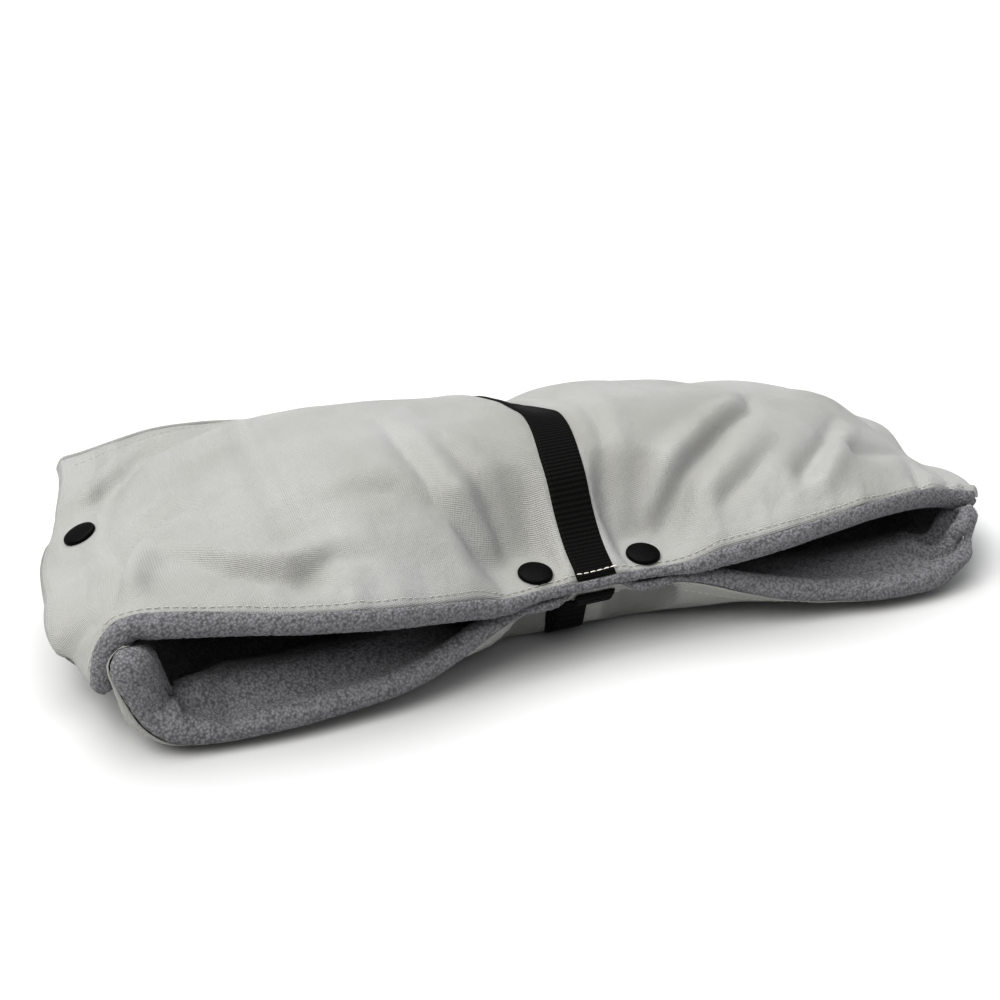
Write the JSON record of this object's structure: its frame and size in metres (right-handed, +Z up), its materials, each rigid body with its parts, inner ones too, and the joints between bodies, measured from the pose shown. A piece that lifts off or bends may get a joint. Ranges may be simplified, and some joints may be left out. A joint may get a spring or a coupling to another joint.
{
  "type": "hand warmer muff",
  "caption": "Padded hand muff: one quilted panel folded over a handlebar, fleece-lined, held by press studs, with a webbing strap round its middle and a hand opening either side.",
  "frame": {"origin": "centre of the muff's footprint on the surface it lies on", "axes": "+X along the muff's length, +Y towards the fold that goes over a handlebar, +Z up; the hand openings face -Y"},
  "size_m": [0.4688, 0.2508, 0.095],
  "materials": {
    "shell_fabric": "fine woven coated polyester, semi-matt",
    "fleece": "brushed fleece, nubby",
    "wadding": "loose polyester wadding",
    "webbing": "tight ribbed webbing",
    "thread": "polyester thread",
    "stud_black": "gloss black",
    "spring_steel": "bright"
  },
  "bodies": {
    "bottom_panel": {"bottom_shell": "shell_fabric", "bottom_padding": "wadding", "bottom_lining": "fleece", "spine_shell_lower": "shell_fabric", "strap_spine_lower": "webbing", "strap_bottom": "webbing", "strap_end_tab": "webbing", "topstitch_bottom_front": "thread", "topstitch_bottom_spine": "thread", "strap_stitch_bottom": "thread", "stud_front_left": "stud_black", "stud_front_right": "stud_black", "stud_end_left": "stud_black", "stud_end_right": "stud_black", "base_front_left": "stud_black", "base_front_right": "stud_black", "base_end_left": "stud_black", "base_end_right": "stud_black"},
    "top_panel": {"top_shell": "shell_fabric", "top_padding": "wadding", "top_lining": "fleece", "spine_shell_upper": "shell_fabric", "strap_top": "webbing", "strap_spine_upper": "webbing", "topstitch_top_front": "thread", "topstitch_top_spine": "thread", "strap_stitch_top": "thread", "cap_front_left": "stud_black", "cap_front_right": "stud_black", "cap_end_left": "stud_black", "cap_end_right": "stud_black", "socket_front_left": "stud_black", "socket_front_right": "stud_black", "socket_end_left": "stud_black", "socket_end_right": "stud_black", "spring_front_left": "spring_steel", "spring_front_right": "spring_steel", "spring_end_left": "spring_steel", "spring_end_right": "spring_steel"}
  },
  "joints": [
    {"name": "fold_open", "type": "hinge", "parent": "bottom_panel", "child": "top_panel", "pos_m": [0, 0.1258, 0.027], "axis": [-1, 0, 0], "range_deg": [0, 155]}
  ]
}
